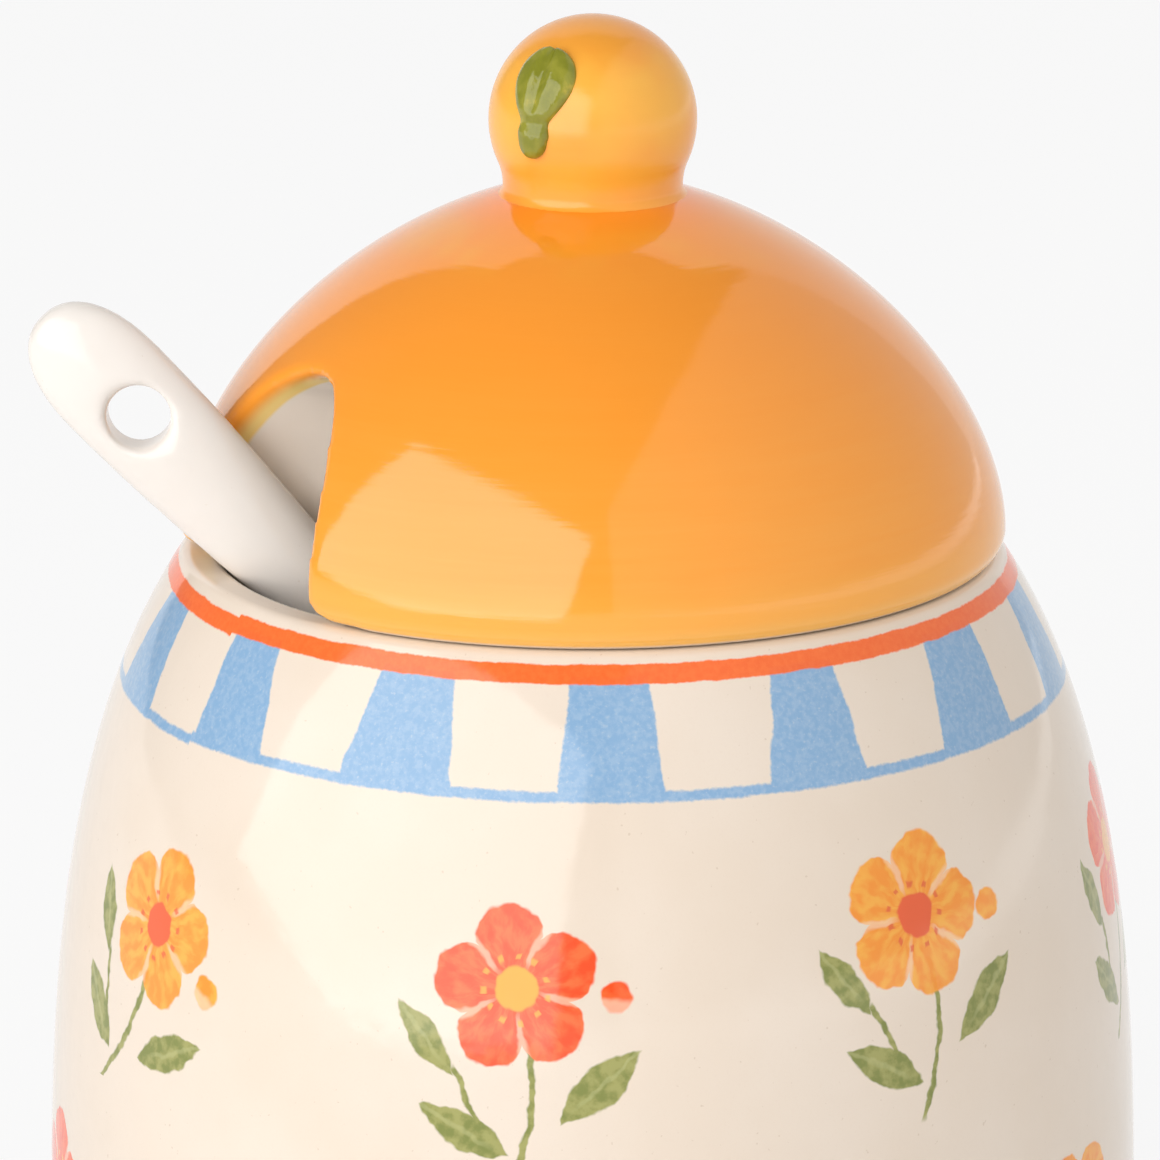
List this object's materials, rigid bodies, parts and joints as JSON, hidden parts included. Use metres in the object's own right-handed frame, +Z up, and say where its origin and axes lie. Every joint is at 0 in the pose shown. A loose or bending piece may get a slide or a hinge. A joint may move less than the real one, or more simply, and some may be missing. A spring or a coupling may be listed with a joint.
{
  "type": "ceramic storage jar",
  "caption": "Round glazed ceramic storage jar with a domed, knobbed lift-off lid and a spoon that stands in the pot and leaves through a notch in the lid.",
  "frame": {"origin": "centre of the foot's underside, on the pot's axis", "axes": "+Z up along the pot's axis, -Y towards the front that the picture shows, +X to the right of that front"},
  "size_m": [0.1, 0.1, 0.1333],
  "materials": {
    "pot_glaze": null,
    "lid_glaze": "brushed orange gloss glaze, thinner and more yellow at the edges, cream inside the lid",
    "leaf_glaze": "hand-painted green gloss glaze",
    "spoon_glaze": "white gloss glaze"
  },
  "bodies": {
    "pot": {"jar_body": "pot_glaze"},
    "lid": {"lid_dome": "lid_glaze", "lid_knob": "lid_glaze", "leaf_sprig": "leaf_glaze"},
    "spoon": {"spoon": "spoon_glaze"}
  },
  "joints": [
    {"name": "lid_lift", "type": "slide", "parent": "pot", "child": "lid", "axis": [0, 0, 1], "range_m": [0, 0.08]},
    {"name": "spoon_draw", "type": "slide", "parent": "pot", "child": "spoon", "axis": [-0.6884, 0, 0.7254], "range_m": [0, 0.06]}
  ]
}
